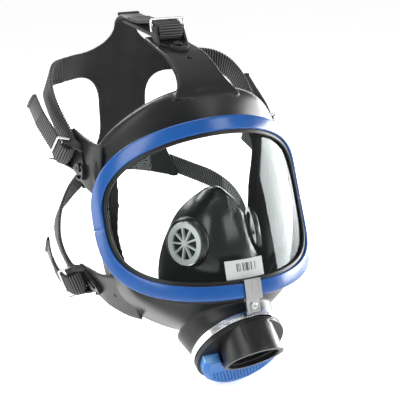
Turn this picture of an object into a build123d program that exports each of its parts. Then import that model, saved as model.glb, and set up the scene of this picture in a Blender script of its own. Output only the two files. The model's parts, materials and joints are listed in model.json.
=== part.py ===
from build123d import *
import math
import os

# Full-face mask. Millimetres, +Z up, the wearer looks along -Y, the mask is symmetric about X = 0.
# The origin is the middle of the visor ring: mid-height, on the mid-plane, between its two sides.

# Visor ring: a band wrapped on a leaning, slightly bowed wall. Plan curve |x/a|^p + |y/d|^p = 1.
PLAN_HALF_WIDTH = 95.0
PLAN_DEPTH = 80.2
PLAN_POWER = 1.8
LEAN = 0.253                # how far the wall leans back, mm per mm of height
BOW = 3.15                  # how far it falls back at BOW_HEIGHT above and below the middle
BOW_HEIGHT = 66.0
TAPER = -0.000277           # the plan curve shrinks upwards by this share per mm
RING_HALF_ARC = 120.4       # outline, measured along the wall
RING_TOP = 69.6
RING_BOTTOM = 64.4
TOP_POWER = 1.9
BOTTOM_POWER = 3.16
STRIP = 11.3                # width of the frame's front face
HALF_STRIP = STRIP / 2
RING_STATIONS = 72
JOINT_HEIGHT = -12.0        # the two frame halves meet here, at both sides

# Depths below the frame's front face
FRAME_WALL = 1.8
LIP_FRONT = 2.1
GROOVE_FRONT = 4.0
VISOR_FRONT = 4.6
VISOR_THICK = 2.0
VISOR_EDGE = 1.6            # the visor's edge, outwards from the strip's middle line
VISOR_LEAN_IN = 2.4         # drawn in at the top, where the pane's level slices step outwards
GROOVE_EDGE = 2.6
GROOVE_BACK = 7.2
LIP_BACK = 9.0
FRAME_BACK = 10.9
BODY_BACK = 12.0

RUBBER = 2.6                # wall of the facepiece

# Rings of the facepiece body, wearer's left half: (angle round the ring in degrees, x, y, z)
BULGE = [(-90, 0, -56, -100), (-60, 66, -40, -70), (-30, 80.5, -22, -34), (0, 84, -9, 5),
         (30, 80, -6, 47), (60, 47, -28, 78.5), (90, 0, -36, 88)]
REAR_EDGE = [(-90, 0, -8, -112), (-60, 58, 12, -84), (-30, 72, 19, -38), (0, 73, 13, 0),
             (30, 73, 7, 42), (60, 43, -8, 73), (90, 0, -17, 86.5)]
SEAL_LIP = [(-90, 0, -14, -92), (-60, 45, 4, -68), (-30, 58, 10, -33), (0, 59, 6, 0),
            (30, 59, -1, 35), (60, 36, -15, 60), (90, 0, -24, 72)]
SEAL_THICK = 1.8

# Port: the ring at the chin that holds the connector housing
PORT_CENTRE = Vector(0, -67.1, -106.0)
PORT_PITCH = 40.0           # degrees below the horizontal
COLLAR_OUT = 35.6
COLLAR_IN = 32.6
COLLAR_FRONT = 3.5
BAND_IN = 35.75
BAND_OUT = 37.0
BAND_WIDTH = 5.5
HOUSING_R = 32.45
FLANGE_R = 36.6
FLANGE_BACK = 3.8
FLANGE_FRONT = 7.0
RECESS_R = 29.0
HOUSING_BACK = -12.0
RECESS_FRONT = -8.0

# Filter inlet: round thread Rd 40 x 1/7 in a barrel that points steeply down
INLET_MOUTH = Vector(0, -92.4, -113.5)
INLET_PITCH = 57.0
INLET_OUT = 23.2
INLET_ROOT_OUT = 21.0
INLET_THREAD_R = 20.2
INLET_THREAD_LENGTH = 17.0
POCKET_R = 19.0
SEAT_FRONT = 19.1
SEAT_BACK = 21.0
INLET_BORE = 15.5

# Exhalation valve, under the inlet
EXHALE_DROP = 20.8          # its axis is this far below the port's axis
EXHALE_R = 11.4
COVER_R = 34.0
COVER_DEPTH = 9.0

# Straps and buckles
STRAP_HALF = 10.0
STRAP_THICK = 2.4
ROLLER_Y = 17.5             # from the stud to the roller, along the strap
ROLLER_Z = 8.0
ROLLER_R = 4.4
LOOP_GAP = 0.3
CHEEK_IN = 11.2
CHEEK_OUT = 13.2
CHEEK_STEP = 12.2           # the axle's hole from inside, the wire's hole from outside
AXLE_R = 1.2
WIRE_R = 0.9
WIRE_SIDE = 14.6
WIRE_REACH = 9.4            # from the hinge to the crossbar
WIRE_LEAN = 72.0            # degrees above the strap, at rest
TAB_THICK = 3.0
STUD_R = 2.0
RUNNING = 0.08              # radial clearance of pins in their holes

NOSE_VALVE = Vector(-30.5, -49.0, -27.0)
NOSE_VALVE_OUT = Vector(-0.93, -0.35, 0.08)
NOSE_VALVE_R = 16.5

os.makedirs("parts", exist_ok=True)


def save(name, shape):
    export_step(shape, f"parts/{name}.step")


def save_pair(name, left):
    """Writes a left piece and its mirror image as the right one."""
    save(name + "_left", left)
    save(name + "_right", mirror(left, Plane.YZ))


# ---- the wall that the visor and its frame lie on

def plan_table():
    """The plan curve from the front to the side, as (arc length, x, y)."""
    rows = [(0.0, 0.0, -PLAN_DEPTH)]
    for step in range(1, 361):
        angle = math.radians(step / 4)
        x = PLAN_HALF_WIDTH * math.sin(angle) ** (2 / PLAN_POWER)
        y = -PLAN_DEPTH * max(math.cos(angle), 0.0) ** (2 / PLAN_POWER)
        length, last_x, last_y = rows[-1]
        rows.append((length + math.hypot(x - last_x, y - last_y), x, y))
    return rows


PLAN = plan_table()


def plan_point(arc):
    """x and y of the plan curve at this arc length, straight backwards past the side."""
    if arc >= PLAN[-1][0]:
        return PLAN[-1][1], PLAN[-1][2] + arc - PLAN[-1][0]
    after = next(i for i, row in enumerate(PLAN) if row[0] > arc)
    (low, x0, y0), (high, x1, y1) = PLAN[after - 1], PLAN[after]
    share = (arc - low) / (high - low)
    return x0 + share * (x1 - x0), y0 + share * (y1 - y0)


def wall_point(arc, z):
    x, y = plan_point(abs(arc))
    scale = 1 + TAPER * z
    return Vector(math.copysign(scale * x, arc), scale * y + LEAN * z + BOW * (z / BOW_HEIGHT) ** 2, z)


def wall_normal(arc, z):
    """Out of the mask."""
    along = wall_point(arc + 0.5, z) - wall_point(arc - 0.5, z)
    up = wall_point(arc, z + 0.5) - wall_point(arc, z - 0.5)
    return along.cross(up).normalized()


def signed_power(value, power):
    return math.copysign(abs(value) ** power, value)


def outline(angle, inset):
    """Arc length and height of the ring's outline, drawn in by inset."""
    power = 2 / (TOP_POWER if math.sin(angle) > 0 else BOTTOM_POWER)
    height = (RING_TOP if math.sin(angle) > 0 else RING_BOTTOM) - inset
    return ((RING_HALF_ARC - inset) * signed_power(math.cos(angle), power),
            height * signed_power(math.sin(angle), power))


def ring_stations():
    """Evenly spaced frames round the strip's middle line: point, outwards in the wall, out of the wall, angle."""
    fine = [2 * math.pi * (i + 0.5) / 2880 for i in range(2881)]
    points = [wall_point(*outline(a, HALF_STRIP)) for a in fine]
    lengths = [0.0]
    for p, q in zip(points, points[1:]):
        lengths.append(lengths[-1] + (q - p).length)
    result = []
    for k in range(RING_STATIONS):
        target = (k + 0.5) * lengths[-1] / RING_STATIONS
        i = next(n for n, length in enumerate(lengths) if length >= target)
        normal = wall_normal(*outline(fine[i], HALF_STRIP))
        tangent = (points[i + 1] - points[i - 1]).normalized()
        outwards = tangent.cross(normal).normalized()
        normal = outwards.cross(tangent).normalized()
        result.append((points[i], outwards, normal, fine[i]))
    return result


STATIONS = ring_stations()


def station_point(station, a, depth):
    point, outwards, normal, _ = station
    return point + outwards * a - normal * depth


def loft_ring(stations, section, closed):
    wires = [Wire.make_polygon([station_point(s, a, d) for a, d in section], close=True) for s in stations]
    return Solid.make_loft(wires + wires[:1] if closed else wires, ruled=True)


# ---- visor, frame and bracket

def visor():
    """A curved pane: level slices, each as wide as the outline is there."""
    arc_steps = 24
    wires = []
    for degrees in range(-78, 79, 6):
        angle = math.radians(degrees)
        half_arc, z = outline(angle, HALF_STRIP - VISOR_EDGE + VISOR_LEAN_IN * max(math.sin(angle), 0))
        front, back = [], []
        for i in range(arc_steps + 1):
            arc = half_arc * (2 * i / arc_steps - 1)
            level = wall_normal(arc, z)
            level = Vector(level.X, level.Y, 0)
            level = level / level.length ** 2
            front.append(wall_point(arc, z) - level * VISOR_FRONT)
            back.append(wall_point(arc, z) - level * (VISOR_FRONT + VISOR_THICK))
        wires.append(Wire.make_polygon(front + back[::-1], close=True))
    return Solid.make_loft(wires, ruled=True)


def frame_halves():
    """The clamping frame is a channel, cut at both sides."""
    section = [(-HALF_STRIP, FRAME_WALL), (-HALF_STRIP, 0), (HALF_STRIP, 0), (HALF_STRIP, FRAME_BACK),
               (1.9, FRAME_BACK), (1.9, LIP_BACK + 0.3), (3.9, LIP_BACK + 0.3), (3.9, FRAME_WALL)]
    upper = [s for s in STATIONS if s[0].Z > JOINT_HEIGHT]
    first = upper.index(min(upper, key=lambda s: (s[0].X < 0, s[0].Z)))
    upper = upper[first:] + upper[:first]
    lower = sorted((s for s in STATIONS if s[0].Z <= JOINT_HEIGHT), key=lambda s: s[3])
    meeting = [(lower[-1], upper[0]), (upper[-1], lower[0])]
    middles = [tuple((p + q) / 2 for p, q in zip(one[:3], two[:3])) + (0.0,) for one, two in meeting]
    gap = 0.15
    ends = [[(p + o.cross(n) * side * gap, o, n, t) for side in (1, -1)] for p, o, n, t in middles]
    return (loft_ring([ends[0][1]] + upper + [ends[1][0]], section, False),
            loft_ring([ends[1][1]] + lower + [ends[0][0]], section, False))


def bottom_plane():
    """The strip's middle line at the bottom centre: X across, Y out of the strip downwards, Z forwards."""
    arc, z = outline(-math.pi / 2, HALF_STRIP)
    normal = wall_normal(0, z)
    return Plane(origin=wall_point(arc, z), x_dir=(-1, 0, 0), z_dir=normal)


def centre_bracket():
    """A clip bent over the lower frame, with a foot that reaches the band clamp."""
    where = bottom_plane()
    profile = [(-8.1, -1.5), (-8.1, 1.9), (7.5, 1.9), (7.5, -1.3), (17.2, -1.3), (17.2, -2.9),
               (5.9, -2.9), (5.9, 0.3), (-6.5, 0.3), (-6.5, -1.5)]
    side = Plane(origin=where.origin, x_dir=where.y_dir, z_dir=where.x_dir)
    clip = extrude(side * make_face(Polyline(*profile, close=True)), 7.0, both=True)
    hole = where * Pos(0, 12.2, -3) * Cylinder(1.7, 8)
    foot_trim = where * Pos(0, 14, -2) * (Box(20, 12.6, 4) - Box(11, 13, 5))
    return clip - hole - foot_trim


def bracket_screw():
    where = bottom_plane()
    head = where * Pos(0, 12.2, -0.55) * (Cylinder(2.7, 1.3) - Pos(0, 0, 0.4) * Cylinder(1.1, 1.2))
    shank = where * Pos(0, 12.2, -3.4) * Cylinder(1.6, 4.6)
    return head + shank


def label():
    """A blank plate stuck to the visor, low in the middle."""
    wires = []
    for i in range(13):
        arc = -18 + 34 * i / 12
        out = wall_normal(arc, -43.0)
        low, high = wall_point(arc, -50.0) - out * VISOR_FRONT, wall_point(arc, -36.0) - out * VISOR_FRONT
        wires.append(Wire.make_polygon([low + out * 0.2, high + out * 0.2, high + out * 0.5, low + out * 0.5], close=True))
    return Solid.make_loft(wires, ruled=True)


# ---- facepiece

def smooth_row(rows, place):
    """A smooth curve through rows that start with their place along it."""
    last = len(rows) - 1
    i = max(min(next((n for n, row in enumerate(rows) if row[0] > place), last) - 1, last - 1), 0)
    low, high = rows[i], rows[i + 1]
    before, after = rows[max(i - 1, 0)], rows[min(i + 2, last)]
    span = high[0] - low[0]
    t = (place - low[0]) / span
    result = []
    for k in range(1, len(low)):
        start = (high[k] - before[k]) / (high[0] - before[0]) * span
        end = (after[k] - low[k]) / (after[0] - low[0]) * span
        result.append((2 * t**3 - 3 * t**2 + 1) * low[k] + (t**3 - 2 * t**2 + t) * start
                      + (3 * t**2 - 2 * t**3) * high[k] + (t**3 - t**2) * end)
    return result


def body_ring(angle, ring):
    """A point of a body ring, at this angle round it; the right half mirrors the left."""
    low = [(-180 - a, -x, y, z) for a, x, y, z in ring[2:0:-1]]
    high = [(180 - a, -x, y, z) for a, x, y, z in ring[-2:-4:-1]]
    x, y, z = smooth_row(low + ring + high, math.degrees(math.asin(math.sin(angle))))
    return Vector(math.copysign(x, math.cos(angle)), y, z)


def face_shell():
    """The visor groove, the wall behind it and the sealing lip, all round the face."""
    wires = []
    for station in STATIONS:
        angle = station[3]
        groove = [(-8.6, LIP_FRONT), (3.6, LIP_FRONT), (3.6, LIP_BACK), (1.6, LIP_BACK),
                  (1.6, BODY_BACK), (7.6, BODY_BACK)]
        inside = [(6.2, BODY_BACK + RUBBER), (-1.2, BODY_BACK + RUBBER), (-1.2, LIP_BACK), (-5.5, LIP_BACK),
                  (-5.5, GROOVE_BACK + 0.3), (GROOVE_EDGE, GROOVE_BACK), (GROOVE_EDGE, GROOVE_FRONT),
                  (-8.6, GROOVE_FRONT + 0.1)]
        bulge, rear, lip = (body_ring(angle, ring) for ring in (BULGE, REAR_EDGE, SEAL_LIP))
        inwards = (lip - rear).normalized()
        skin = [bulge, rear, lip, lip + Vector(0, -SEAL_THICK, 0), rear + inwards * RUBBER + Vector(0, -RUBBER, 0),
                bulge + (Vector(0, bulge.Y, 0) - bulge).normalized() * RUBBER]
        points = [station_point(station, a, d) for a, d in groove] + skin
        points += [station_point(station, a, d) for a, d in inside]
        wires.append(Wire.make_polygon(points, close=True))
    return Solid.make_loft(wires + wires[:1], ruled=True)


def port_plane():
    pitch = math.radians(PORT_PITCH)
    return Plane(origin=PORT_CENTRE, x_dir=(1, 0, 0), z_dir=(0, -math.cos(pitch), -math.sin(pitch)))


PORT = port_plane()


def tube(outer, inner, low, high):
    """A ring between two heights on +Z; inner 0 gives a plain disc."""
    ring = Pos(0, 0, (low + high) / 2) * Cylinder(outer, high - low)
    if inner:
        ring -= Pos(0, 0, (low + high) / 2) * Cylinder(inner, high - low + 2)
    return ring


def port_collar():
    """The round wall at the chin, cut off just inside the slanting chin."""
    wall = tube(COLLAR_OUT, 0, -40, COLLAR_FRONT) + Pos(0, 0, -23) * Cone(43, COLLAR_OUT, 34)
    inside_cut = Rot(9.6, 0, 0) * Pos(0, 0, -60) * Box(200, 200, 76)
    return PORT * (wall - inside_cut)


def strip(stations, thickness, parts=4):
    """A flat band along a smooth path; stations are (middle of the outer face, half width, across, outward)."""
    rows = []
    for i, (middle, half, across, outward) in enumerate(stations):
        middle, across, outward = Vector(*middle), Vector(*across).normalized(), Vector(*outward)
        outward = (outward - across * outward.dot(across)).normalized()
        place = rows[-1][0] + (middle - Vector(*rows[-1][1:4])).length if rows else 0.0
        rows.append((place, *middle, half, *across, *outward))
    wires = []
    for k in range((len(rows) - 1) * parts + 1):
        i = min(k // parts, len(rows) - 2)
        place = rows[i][0] + (rows[i + 1][0] - rows[i][0]) * (k / parts - i)
        row = smooth_row(rows, place)
        middle, half, across, outward = Vector(*row[:3]), row[3], Vector(*row[4:7]).normalized(), Vector(*row[7:10])
        outward = (outward - across * outward.dot(across)).normalized()
        corners = [middle + across * half, middle - across * half]
        wires.append(Wire.make_polygon(corners + [c - outward * thickness for c in corners[::-1]], close=True))
    return Solid.make_loft(wires, ruled=True)


# Buckle places: stud on the tab's outer face, direction along the strap, outward normal
FOREHEAD = (Vector(0, 7.5, 117.6), Vector(0, 0.96, 0.28), Vector(0, -0.28, 0.96))
TEMPLE = (Vector(-83.0, 20.0, 29.8), Vector(0, 0.65, 0.76), Vector(-1, 0, 0))
JAW = (Vector(-74.0, 29.2, -67.4), Vector(-0.153, 0.947, 0.262), Vector(-0.897, -0.028, -0.426))


def buckle_plane(place):
    """X across the strap, Y along it away from the mask, Z out of the tab."""
    stud, along, normal = place
    along = along.normalized()
    across = along.cross(normal).normalized()
    return Plane(origin=stud, x_dir=across, z_dir=across.cross(along))


def local(place, y, z, x=0.0):
    plane = buckle_plane(place)
    return plane.origin + plane.x_dir * x + plane.y_dir * y + plane.z_dir * z


def forehead_tab():
    across = (1, 0, 0)
    stations = [((0, -39.5, 82.0), 29, across, (0, -0.97, 0.25)), ((0, -31, 94.0), 21.5, across, (0, -0.85, 0.53)),
                ((0, -16.5, 106.8), 18.8, across, (0, -0.58, 0.81)),
                (local(FOREHEAD, -12.5, -0.2), 18, across, FOREHEAD[2]), (local(FOREHEAD, -6, 0), 17.6, across, FOREHEAD[2]),
                (local(FOREHEAD, 2, 0), 17.1, across, FOREHEAD[2]),
                (local(FOREHEAD, 10, 0), 16.6, across, FOREHEAD[2]), (local(FOREHEAD, 20, 0), 15.8, across, FOREHEAD[2]),
                ((0, 38.0, 125.2), 14, across, (0, -0.15, 0.99))]
    hole = Plane(origin=(0, -12.2, 109.4), z_dir=(0, -0.55, 0.83)) * Cylinder(2.2, 14)
    return strip(stations, TAB_THICK) - hole


def temple_tab():
    stations = [((-80.7, -10, 28.0), 21.5, (0, -0.2, 0.98), (-1, 0, 0)), ((-82.5, 3, 31.5), 21, (0, -0.3, 0.95), (-1, 0, 0)),
                ((-83.0, 22, 38.0), 18.5, (0, -0.45, 0.89), (-1, 0, 0)),
                ((-83.0, 43, 45.0), 17, (0, -0.5, 0.87), (-1, 0, 0))]
    return strip(stations, TAB_THICK)


def jaw_tab():
    plane = buckle_plane(JAW)
    across = plane.x_dir
    flat = [(local(JAW, y, 0), half, across, plane.z_dir) for y, half in ((-13, 18), (-3, 16), (7, 14), (17, 12.5))]
    stations = [((-64.0, -20, -71.5), 24, (-0.42, -0.28, 0.86), (-0.82, -0.3, -0.49)),
                ((-67.3, -4, -72.8), 22, (-0.42, -0.28, 0.86), (-0.84, -0.2, -0.5))]
    return strip(stations + flat, TAB_THICK)


def stud_hole(place):
    return buckle_plane(place) * Pos(0, 0, -2) * Cylinder(STUD_R + 0.06, 8)


def face_blank():
    blank = face_shell() + port_collar()
    blank -= PORT * tube(COLLAR_IN, 0, -48, 12)
    jaw = jaw_tab() - stud_hole(JAW)
    temple = temple_tab() - stud_hole(TEMPLE)
    blank = blank.fuse(forehead_tab() - stud_hole(FOREHEAD), temple, mirror(temple, Plane.YZ), jaw, mirror(jaw, Plane.YZ))
    return blank


# ---- buckles and straps

def buckle_base():
    """Tongue plate riveted to the tab, with two cheeks that carry the roller and the wire."""
    tongue = make_face(Polyline((-7.5, -3), (-CHEEK_OUT, 9), (-CHEEK_OUT, 13.5), (CHEEK_OUT, 13.5), (CHEEK_OUT, 9), (7.5, -3),
                                 close=True))
    plate = Pos(0, 0, 0.15) * extrude(tongue, 1.6) + Pos(0, -3, 0.95) * Cylinder(7.9, 1.6)
    rim = Pos(0, -3, 1.9) * (Cylinder(7.9, 3.5) - Cylinder(6.3, 4)) & Pos(0, -10, 0) * Box(30, 14, 20)
    side = [(5.5, 0.15), (14.0, 0.15), (21.5, 4.4), (21.9, 9.6), (19.6, 12.2), (15.4, 12.2), (12.0, 7.2)]
    face = Plane.YZ * make_face(Polyline(*side, close=True))
    cheeks = [Pos(x, 0, 0) * extrude(face, CHEEK_OUT - CHEEK_IN) for x in (CHEEK_IN, -CHEEK_OUT)]
    base = plate + rim + cheeks
    base -= Pos(0, ROLLER_Y, ROLLER_Z) * Rot(0, 90, 0) * Cylinder(AXLE_R + RUNNING, 2 * CHEEK_STEP)
    base -= Pos(0, ROLLER_Y, ROLLER_Z) * Rot(0, 90, 0) * Cylinder(WIRE_R + RUNNING, 40)
    return base - Cylinder(STUD_R + 0.06, 12)


def buckle_stud():
    """Rivet through the base and the tab."""
    return (tube(STUD_R, 0, -3.2, 1.9) + tube(3.6, 0, 1.85, 3.9) + tube(4.2, 0, -4.4, -3.1)
            - Pos(0, 0, 3.9) * Cylinder(1.6, 1.4))


def buckle_roller():
    roller = Rot(0, 90, 0) * (Cylinder(ROLLER_R, 2 * CHEEK_IN - 0.8) + Cylinder(AXLE_R, 2 * CHEEK_STEP - 0.3))
    return Pos(0, ROLLER_Y, ROLLER_Z) * roller


def buckle_wire():
    """Bright wire that hinges on the roller's line and holds the strap's tail down."""
    side, tip = WIRE_SIDE, CHEEK_STEP + 0.15
    lean = math.radians(WIRE_LEAN)
    y, z = ROLLER_Y + WIRE_REACH * math.cos(lean), ROLLER_Z + WIRE_REACH * math.sin(lean)
    points = [(tip, ROLLER_Y, ROLLER_Z), (side, ROLLER_Y, ROLLER_Z), (side, y, z),
              (-side, y, z), (-side, ROLLER_Y, ROLLER_Z), (-tip, ROLLER_Y, ROLLER_Z)]
    path = FilletPolyline(*points, radius=1.2)
    return sweep(Plane(origin=path @ 0, z_dir=path % 0) * Circle(WIRE_R), path)


def strap(place, inner_run, tail):
    """Inner run from the harness, the turn round the roller, then the free tail; points are the outer face's."""
    plane = buckle_plane(place)
    reach = ROLLER_R + LOOP_GAP + STRAP_THICK
    turn = []
    for i in range(9):
        angle = math.radians(-90 - 180 * i / 8)
        outward = plane.y_dir * math.cos(angle) + plane.z_dir * math.sin(angle)
        turn.append((local(place, ROLLER_Y, ROLLER_Z) + outward * reach, STRAP_HALF, plane.x_dir, outward))
    first = (local(place, 27.0, ROLLER_Z - reach), STRAP_HALF, plane.x_dir, -plane.z_dir)
    last = (local(place, 24.0, ROLLER_Z + reach), STRAP_HALF, plane.x_dir, plane.z_dir)
    return strip(inner_run + [first] + turn + [last] + tail, STRAP_THICK)


def forehead_strap():
    x = (1, 0, 0)
    run = [((0, 83.9, 135.8), STRAP_HALF, x, (0, 0.15, -1)), ((0, 68, 132.8), STRAP_HALF, x, (0, 0.2, -1)),
           ((0, 50, 129.2), STRAP_HALF, x, (0, 0.2, -1))]
    tail = [((0, 40, 138.2), STRAP_HALF, x, (0, 0.02, 1)), ((0, 58, 138.0), STRAP_HALF, x, (0, -0.05, 1)),
            ((0, 76, 140.2), STRAP_HALF, x, (0, -0.15, 1)), ((0, 95, 143.4), STRAP_HALF, x, (0, -0.17, 1))]
    return strap(FOREHEAD, run, tail)


def temple_strap():
    """The inner run's points are on the face next to the head, the tail's on the face away from it."""
    run = [((-61.2, 94.7, 99.2), STRAP_HALF, (0.02, -0.05, 1), (0.55, -0.83, 0)),
           ((-74.5, 85.0, 97.0), STRAP_HALF, (0.1, -0.3, 0.95), (0.77, -0.62, 0)),
           ((-83.3, 74.5, 90.5), STRAP_HALF, (0.1, -0.6, 0.8), (0.94, -0.33, 0)),
           ((-86.8, 62.0, 79.0), STRAP_HALF, (0, -0.72, 0.7), (1, 0, 0)),
           ((-86.4, 49.5, 65.0), STRAP_HALF, (0, -0.75, 0.66), (1, 0, 0))]
    tail = [((-99.4, 44.0, 55.5), STRAP_HALF, (0, -0.78, 0.62), (-1, 0, 0)),
            ((-100.4, 59.0, 66.5), STRAP_HALF, (0, -0.82, 0.57), (-1, 0, 0)),
            ((-100.0, 76.0, 81.0), STRAP_HALF, (0, -0.84, 0.54), (-1, 0, 0))]
    return strap(TEMPLE, run, tail)


def jaw_strap():
    run = [((-60.2, 95.4, -2.0), STRAP_HALF, (0.35, 0.0, 0.94), (0.55, -0.83, -0.1)),
           ((-73.0, 84.5, -10.0), STRAP_HALF, (0.3, -0.3, 0.9), (0.75, -0.65, -0.1)),
           ((-81.5, 75.5, -21.5), STRAP_HALF, (0.05, -0.6, 0.8), (0.93, -0.3, -0.1)),
           ((-84.5, 68.5, -35.0), STRAP_HALF, (-0.2, -0.7, 0.7), (0.95, -0.05, 0.2)),
           ((-83.0, 62.0, -48.5), STRAP_HALF, (-0.35, -0.5, 0.8), (0.9, 0.02, 0.4))]
    tail = [((-94.6, 56.5, -60.5), STRAP_HALF, (-0.38, -0.45, 0.8), (-0.9, 0.05, -0.4)),
            ((-96.6, 64.0, -49.0), STRAP_HALF, (-0.3, -0.65, 0.7), (-0.95, 0, -0.3)),
            ((-97.2, 69.5, -36.0), STRAP_HALF, (-0.15, -0.75, 0.65), (-0.98, 0, -0.15))]
    return strap(JAW, run, tail)


def harness_plate():
    """The rubber plate behind the head, with arms that the straps grow out of."""
    across = (1, 0, 0)
    spine = [((0, 84.2, 138.2), 10, across, (0, -0.15, 1)), ((0, 91.5, 139.2), 10, across, (0, 0.2, 1)),
             ((0, 97.5, 135.5), 10, across, (0, 0.8, 0.6)), ((0, 100.2, 128.0), 11, across, (0, 0.96, 0.28)),
             ((0, 102.2, 119.5), 16, across, (0, 0.97, 0.24)), ((0, 105.0, 112.0), 23, across, (0, 0.95, 0.3)),
             ((0, 109.0, 102.0), 27, across, (0, 0.93, 0.36)), ((0, 112.2, 89.0), 23.5, across, (0, 0.99, 0.15)),
             ((0, 114.0, 70.0), 22.2, across, (0, 1, 0.03)), ((0, 114.8, 45.0), 21.8, across, (0, 1, 0)),
             ((0, 114.6, 30.0), 25, across, (0, 1, -0.05)), ((0, 113.5, 12.0), 27, across, (0, 1, -0.08))]
    temple = [((-14.0, 109.9, 101.0), 11, (0, -0.1, 1), (0, 0.98, 0.1)),
              ((-38.0, 106.6, 101.0), 10, (0, -0.05, 1), (-0.25, 0.97, 0)),
              ((-62.3, 96.4, 99.0), 10, (0.02, -0.05, 1), (-0.55, 0.83, 0))]
    jaw = [((-14.0, 113.6, 18.5), 11, (0.3, 0, 0.95), (0, 1, -0.05)),
           ((-38.0, 109.4, 9.5), 10, (0.35, 0, 0.94), (-0.25, 0.97, 0.05)),
           ((-61.3, 97.1, -2.0), 10, (0.35, 0, 0.94), (-0.55, 0.83, 0.1))]
    plate = strip(spine, 2.2)
    arms = [strip(temple, 2.0), strip(jaw, 2.0)]
    return plate.fuse(*arms, *[mirror(arm, Plane.YZ) for arm in arms])


# ---- port: clamp, housing, inlet and exhalation valve

def band_clamp():
    band = tube(BAND_OUT, BAND_IN, -BAND_WIDTH / 2, BAND_WIDTH / 2)
    overlap = tube(BAND_OUT + 0.9, BAND_OUT - 0.05, -BAND_WIDTH / 2, BAND_WIDTH / 2)
    overlap &= Pos(9, 35, 0) * Box(18, 14, 10)
    return PORT * (band + overlap)


def inlet_plane():
    """At the mouth, Z out along the barrel."""
    pitch = math.radians(INLET_PITCH)
    return Plane(origin=INLET_MOUTH, x_dir=(1, 0, 0), z_dir=(0, -math.cos(pitch), -math.sin(pitch)))


INLET = inlet_plane()


def connector_housing():
    drum = tube(HOUSING_R, 0, HOUSING_BACK, FLANGE_BACK + 0.5) + tube(FLANGE_R, 0, FLANGE_BACK, 5.2)
    drum += tube(FLANGE_R - 1.2, 0, 5.0, 5.8) + tube(FLANGE_R, 0, 5.6, FLANGE_FRONT)
    barrel = Pos(0, 0, -20) * Cone(INLET_ROOT_OUT, INLET_OUT, 40)
    barrel = INLET * (barrel + tube(INLET_OUT + 0.5, 0, -2.5, 0))
    shoulder = PORT * Pos(0, 0, 36.9) * Cone(FLANGE_R, FLANGE_R + 60, 60)
    body = PORT * drum + (barrel & shoulder)
    body -= INLET * tube(INLET_THREAD_R, 0, -INLET_THREAD_LENGTH, 1)
    body -= INLET * tube(POCKET_R, 0, -SEAT_BACK, 0)
    body -= INLET * tube(INLET_BORE, 0, -46, 0)
    body -= PORT * tube(RECESS_R, 0, HOUSING_BACK - 1, RECESS_FRONT)
    body -= PORT * Pos(0, -EXHALE_DROP, 0) * tube(EXHALE_R + 0.6, 0, -3.0, FLANGE_FRONT + 1.5)
    body -= PORT * Pos(0, -EXHALE_DROP, 0) * tube(8.0, 0, -20, 5)
    return body


def spoked_seat(outer, inner, hub, height, spokes):
    """A valve seat: rim, hub and straight spokes, from z = 0 up to height."""
    seat = tube(outer, inner, 0, height) + tube(hub, 0, 0, height)
    bar = Pos((inner + 0.4) / 2, 0, height / 2) * Box(inner + 0.4, 1.4, height)
    for i in range(spokes):
        seat += Rot(0, 0, 360 * i / spokes) * bar
    return seat


def inlet_gasket():
    return INLET * tube(POCKET_R - 0.2, 15.6, -SEAT_FRONT + 0.1, -INLET_THREAD_LENGTH - 0.1)


def inlet_valve_seat():
    stem = tube(1.3, 0, -4.6, 0.2)
    return INLET * Pos(0, 0, -SEAT_BACK + 0.1) * (spoked_seat(POCKET_R - 0.2, 13.0, 3.0, 1.8, 6) + stem)


def inlet_valve_disc():
    return INLET * tube(14.6, 1.6, -SEAT_BACK - 0.85, -SEAT_BACK - 0.05)


def exhale_place(shape):
    return PORT * Pos(0, -EXHALE_DROP, 0) * shape


def exhalation_valve_seat():
    stem = tube(1.3, 0, 1.0, 5.2)
    return exhale_place(Pos(0, 0, -2.9) * (spoked_seat(EXHALE_R + 0.4, 9.0, 2.6, 1.8, 4) + stem))


def exhalation_valve_disc():
    return exhale_place(tube(10.6, 1.6, -0.95, -0.15))


def exhalation_cover():
    """A grille of small slots over the lower half of the port, hollowed round the valve."""
    shell = tube(COVER_R, 0, FLANGE_FRONT + 0.2, FLANGE_FRONT + COVER_DEPTH)
    shell = chamfer(shell.edges().group_by(Axis.Z)[-1], 3.2)
    shell &= Pos(0, -42, 0) * Box(80, 88, 60)
    hollow = tube(COVER_R - 2.2, 0, 0, FLANGE_FRONT + COVER_DEPTH - 2.0)
    hollow = chamfer(hollow.edges().group_by(Axis.Z)[-1], 2.6)
    hollow &= Pos(0, -42, 0) * Box(72, 84, 60)
    shell -= hollow
    for row in range(5):
        for column in range(-8, 9):
            x, y = column * 2.9 + (row % 2) * 1.45, -13.4 - row * 3.1
            if math.hypot(x, y) < COVER_R - 5:
                shell -= Pos(x, y, FLANGE_FRONT + COVER_DEPTH) * Box(1.5, 1.7, 8)
    return PORT * shell - INLET * tube(INLET_OUT + 1.3, 0, -60, 20)


# ---- inner mask over nose and mouth

def inner_mask():
    """A thin cup; each slice is (height, half width, front y, rear y)."""
    slices = [(9, 9, -49, -36), (2, 17, -56, -30), (-8, 25, -62.5, -25), (-20, 31, -67.5, -22), (-34, 36, -71, -19),
              (-50, 39, -72, -17), (-64, 39, -69.5, -17), (-75, 36, -65, -19), (-83, 31, -58.5, -22)]
    steps, power, wall = 20, 2.5, 1.8
    wires = []
    for z, half, front, rear in slices:
        outer, inner = [], []
        for i in range(steps + 1):
            angle = math.pi * i / steps
            across, ahead = signed_power(math.cos(angle), 2 / power), math.sin(angle) ** (2 / power)
            outer.append((half * across, rear + (front - rear) * ahead, z))
            inner.append(((half - wall) * across, rear + (front + wall - rear) * ahead, z))
        wires.append(Wire.make_polygon(outer + inner[::-1], close=True))
    cup = Solid.make_loft(wires, ruled=True)
    hole = nose_valve_plane() * tube(NOSE_VALVE_R + 0.4, 0, -14, 8)
    return cup - hole - mirror(hole, Plane.YZ)


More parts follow.
